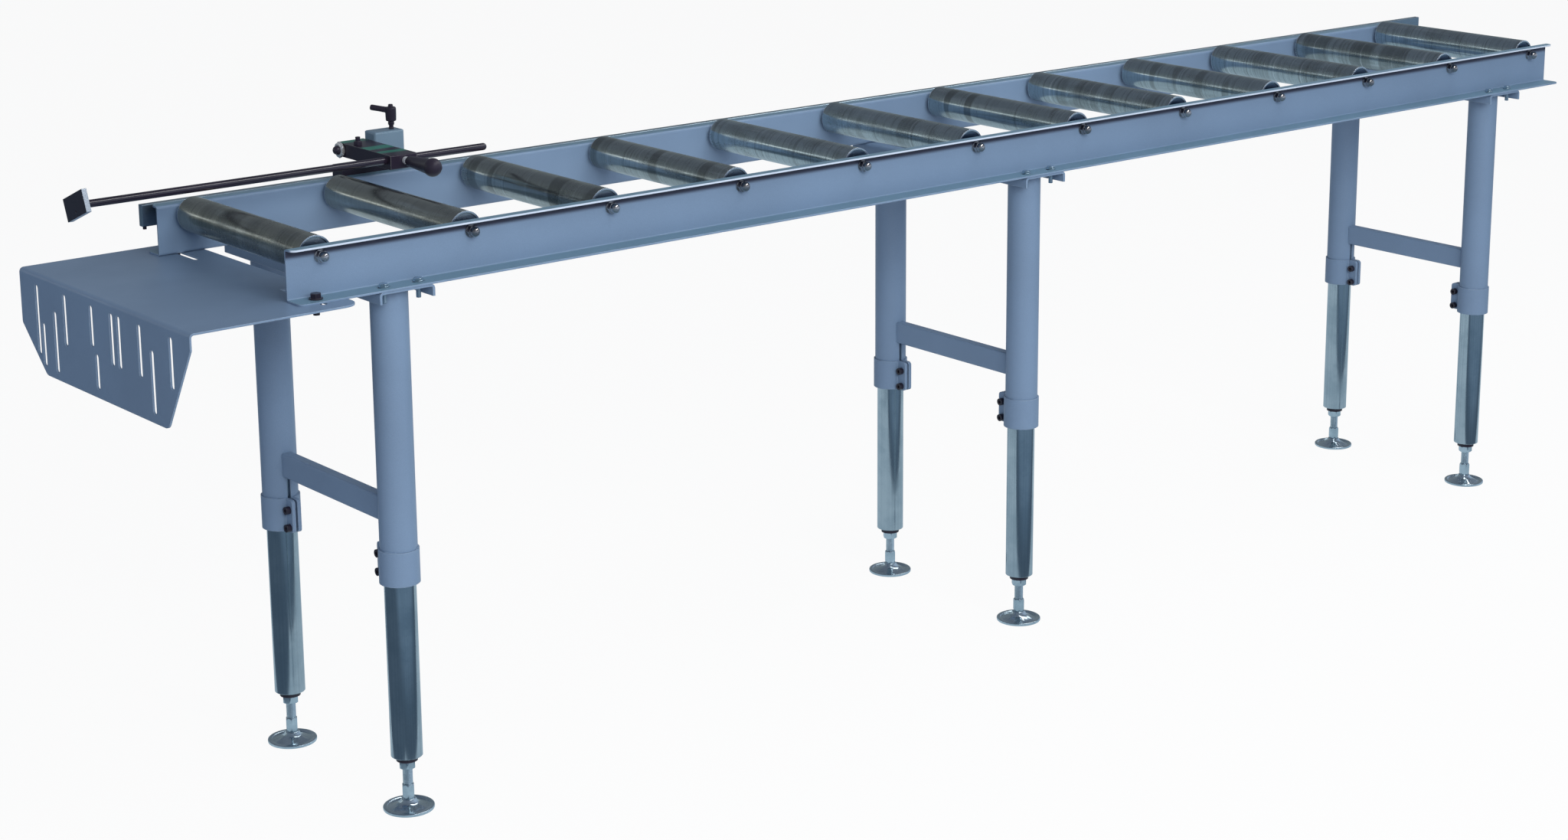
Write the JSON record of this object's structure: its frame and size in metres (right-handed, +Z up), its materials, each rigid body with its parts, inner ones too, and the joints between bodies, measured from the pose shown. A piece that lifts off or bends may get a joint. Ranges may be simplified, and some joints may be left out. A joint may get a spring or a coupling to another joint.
{
  "type": "outfeed roller table",
  "caption": "Painted channel-rail roller table on height-adjustable leg frames, with a slotted end plate for a machine and a sliding flip-up length stop on a guide bar.",
  "frame": {"origin": "floor level, under the middle of the part's bounding box", "axes": "+X along the table, away from the machine; +Y away from the operator, to the guide bar; +Z up"},
  "size_m": [3.306, 0.546, 1.0361],
  "materials": {
    "painted_steel": "blue-grey satin paint on pressed sheet and tube",
    "black_steel": "black oxide, semi-gloss",
    "zinc": "blue-white zinc plating",
    "zinc_tube": "bright zinc plating with faint draw marks",
    "roller_steel": "yellow-green passivated zinc with faint rings",
    "bright_steel": "bright nickel-like plating",
    "black_plastic": "moulded black plastic"
  },
  "bodies": {
    "table": {"near_rail": "painted_steel", "far_rail": "painted_steel", "end_plate": "painted_steel", "end_plate_bolts": "black_steel", "top_channel_1": "painted_steel", "top_channel_2": "painted_steel", "top_channel_3": "painted_steel", "leg_tube_1_near": "painted_steel", "leg_tube_1_far": "painted_steel", "leg_tube_2_near": "painted_steel", "leg_tube_2_far": "painted_steel", "leg_tube_3_near": "painted_steel", "leg_tube_3_far": "painted_steel", "crossbar_1": "painted_steel", "crossbar_2": "painted_steel", "crossbar_3": "painted_steel", "leg_clamps_1": "painted_steel", "leg_clamps_2": "painted_steel", "leg_clamps_3": "painted_steel", "clamp_screws": "black_steel", "leg_bolts": "zinc", "roller_axles": "bright_steel", "axle_nuts": "bright_steel", "roller_bearings": "bright_steel", "guide_bar": "painted_steel", "guide_bar_fixings": "zinc"},
    "roller_01": {"roller_01": "roller_steel"},
    "roller_02": {"roller_02": "roller_steel"},
    "roller_03": {"roller_03": "roller_steel"},
    "roller_04": {"roller_04": "roller_steel"},
    "roller_05": {"roller_05": "roller_steel"},
    "roller_06": {"roller_06": "roller_steel"},
    "roller_07": {"roller_07": "roller_steel"},
    "roller_08": {"roller_08": "roller_steel"},
    "roller_09": {"roller_09": "roller_steel"},
    "roller_10": {"roller_10": "roller_steel"},
    "roller_11": {"roller_11": "roller_steel"},
    "roller_12": {"roller_12": "roller_steel"},
    "inner_leg_1_near": {"inner_leg_1_near": "zinc_tube"},
    "foot_1_near": {"foot_1_near": "zinc"},
    "inner_leg_1_far": {"inner_leg_1_far": "zinc_tube"},
    "foot_1_far": {"foot_1_far": "zinc"},
    "inner_leg_2_near": {"inner_leg_2_near": "zinc_tube"},
    "foot_2_near": {"foot_2_near": "zinc"},
    "inner_leg_2_far": {"inner_leg_2_far": "zinc_tube"},
    "foot_2_far": {"foot_2_far": "zinc"},
    "inner_leg_3_near": {"inner_leg_3_near": "zinc_tube"},
    "foot_3_near": {"foot_3_near": "zinc"},
    "inner_leg_3_far": {"inner_leg_3_far": "zinc_tube"},
    "foot_3_far": {"foot_3_far": "zinc"},
    "stop_carriage": {"stop_shoe": "black_steel", "clamp_block": "painted_steel", "pivot_pin": "bright_steel"},
    "clamp_lever": {"clamp_lever": "black_plastic"},
    "stop_arm": {"stop_arm": "black_steel", "arm_screw": "black_steel"},
    "stop_rod": {"stop_rod": "black_steel"},
    "stop_plate": {"stop_plate": "black_steel"},
    "stop_handle": {"stop_handle": "black_plastic"}
  },
  "joints": [
    {"name": "roller_01_spin", "type": "hinge", "parent": "table", "child": "roller_01", "pos_m": [-1.398, 0, 0.912], "axis": [0, 1, 0], "continuous": true},
    {"name": "roller_02_spin", "type": "hinge", "parent": "table", "child": "roller_02", "pos_m": [-1.13564, 0, 0.912], "axis": [0, 1, 0], "continuous": true},
    {"name": "roller_03_spin", "type": "hinge", "parent": "table", "child": "roller_03", "pos_m": [-0.87327, 0, 0.912], "axis": [0, 1, 0], "continuous": true},
    {"name": "roller_04_spin", "type": "hinge", "parent": "table", "child": "roller_04", "pos_m": [-0.61091, 0, 0.912], "axis": [0, 1, 0], "continuous": true},
    {"name": "roller_05_spin", "type": "hinge", "parent": "table", "child": "roller_05", "pos_m": [-0.34855, 0, 0.912], "axis": [0, 1, 0], "continuous": true},
    {"name": "roller_06_spin", "type": "hinge", "parent": "table", "child": "roller_06", "pos_m": [-0.08618, 0, 0.912], "axis": [0, 1, 0], "continuous": true},
    {"name": "roller_07_spin", "type": "hinge", "parent": "table", "child": "roller_07", "pos_m": [0.17618, 0, 0.912], "axis": [0, 1, 0], "continuous": true},
    {"name": "roller_08_spin", "type": "hinge", "parent": "table", "child": "roller_08", "pos_m": [0.43855, 0, 0.912], "axis": [0, 1, 0], "continuous": true},
    {"name": "roller_09_spin", "type": "hinge", "parent": "table", "child": "roller_09", "pos_m": [0.70091, 0, 0.912], "axis": [0, 1, 0], "continuous": true},
    {"name": "roller_10_spin", "type": "hinge", "parent": "table", "child": "roller_10", "pos_m": [0.96327, 0, 0.912], "axis": [0, 1, 0], "continuous": true},
    {"name": "roller_11_spin", "type": "hinge", "parent": "table", "child": "roller_11", "pos_m": [1.22564, 0, 0.912], "axis": [0, 1, 0], "continuous": true},
    {"name": "roller_12_spin", "type": "hinge", "parent": "table", "child": "roller_12", "pos_m": [1.488, 0, 0.912], "axis": [0, 1, 0], "continuous": true},
    {"name": "leg_1_near_height", "type": "slide", "parent": "table", "child": "inner_leg_1_near", "axis": [0, 0, 1], "range_m": [-0.1, 0.15]},
    {"name": "foot_1_near_level", "type": "slide", "parent": "inner_leg_1_near", "child": "foot_1_near", "axis": [0, 0, 1], "range_m": [-0.03, 0.025]},
    {"name": "leg_1_far_height", "type": "slide", "parent": "table", "child": "inner_leg_1_far", "axis": [0, 0, 1], "range_m": [-0.1, 0.15]},
    {"name": "foot_1_far_level", "type": "slide", "parent": "inner_leg_1_far", "child": "foot_1_far", "axis": [0, 0, 1], "range_m": [-0.03, 0.025]},
    {"name": "leg_2_near_height", "type": "slide", "parent": "table", "child": "inner_leg_2_near", "axis": [0, 0, 1], "range_m": [-0.1, 0.15]},
    {"name": "foot_2_near_level", "type": "slide", "parent": "inner_leg_2_near", "child": "foot_2_near", "axis": [0, 0, 1], "range_m": [-0.03, 0.025]},
    {"name": "leg_2_far_height", "type": "slide", "parent": "table", "child": "inner_leg_2_far", "axis": [0, 0, 1], "range_m": [-0.1, 0.15]},
    {"name": "foot_2_far_level", "type": "slide", "parent": "inner_leg_2_far", "child": "foot_2_far", "axis": [0, 0, 1], "range_m": [-0.03, 0.025]},
    {"name": "leg_3_near_height", "type": "slide", "parent": "table", "child": "inner_leg_3_near", "axis": [0, 0, 1], "range_m": [-0.1, 0.15]},
    {"name": "foot_3_near_level", "type": "slide", "parent": "inner_leg_3_near", "child": "foot_3_near", "axis": [0, 0, 1], "range_m": [-0.03, 0.025]},
    {"name": "leg_3_far_height", "type": "slide", "parent": "table", "child": "inner_leg_3_far", "axis": [0, 0, 1], "range_m": [-0.1, 0.15]},
    {"name": "foot_3_far_level", "type": "slide", "parent": "inner_leg_3_far", "child": "foot_3_far", "axis": [0, 0, 1], "range_m": [-0.03, 0.025]},
    {"name": "stop_travel", "type": "slide", "parent": "table", "child": "stop_carriage", "axis": [1, 0, 0], "range_m": [-0.34, 2.63]},
    {"name": "clamp_lever_turn", "type": "hinge", "parent": "stop_carriage", "child": "clamp_lever", "pos_m": [-1.007, 0.23, 1.008], "axis": [0, 0, 1], "range_deg": [-90, 90]},
    {"name": "stop_arm_flip", "type": "hinge", "parent": "stop_carriage", "child": "stop_arm", "pos_m": [-1.0735, 0.239, 0.9695], "axis": [-1, 0, 0], "range_deg": [0, 90]},
    {"name": "stop_rod_reach", "type": "slide", "parent": "stop_arm", "child": "stop_rod", "axis": [1, 0, 0], "range_m": [-0.125, 0.5]},
    {"name": "stop_plate_tilt", "type": "hinge", "parent": "stop_rod", "child": "stop_plate", "pos_m": [-1.627, 0.102, 0.9713], "axis": [1, 0, 0], "range_deg": [0, 44]},
    {"name": "stop_handle_turn", "type": "hinge", "parent": "stop_arm", "child": "stop_handle", "pos_m": [-1.071, 0.086, 0.9713], "axis": [0, 1, 0], "range_deg": [-180, 180]}
  ]
}
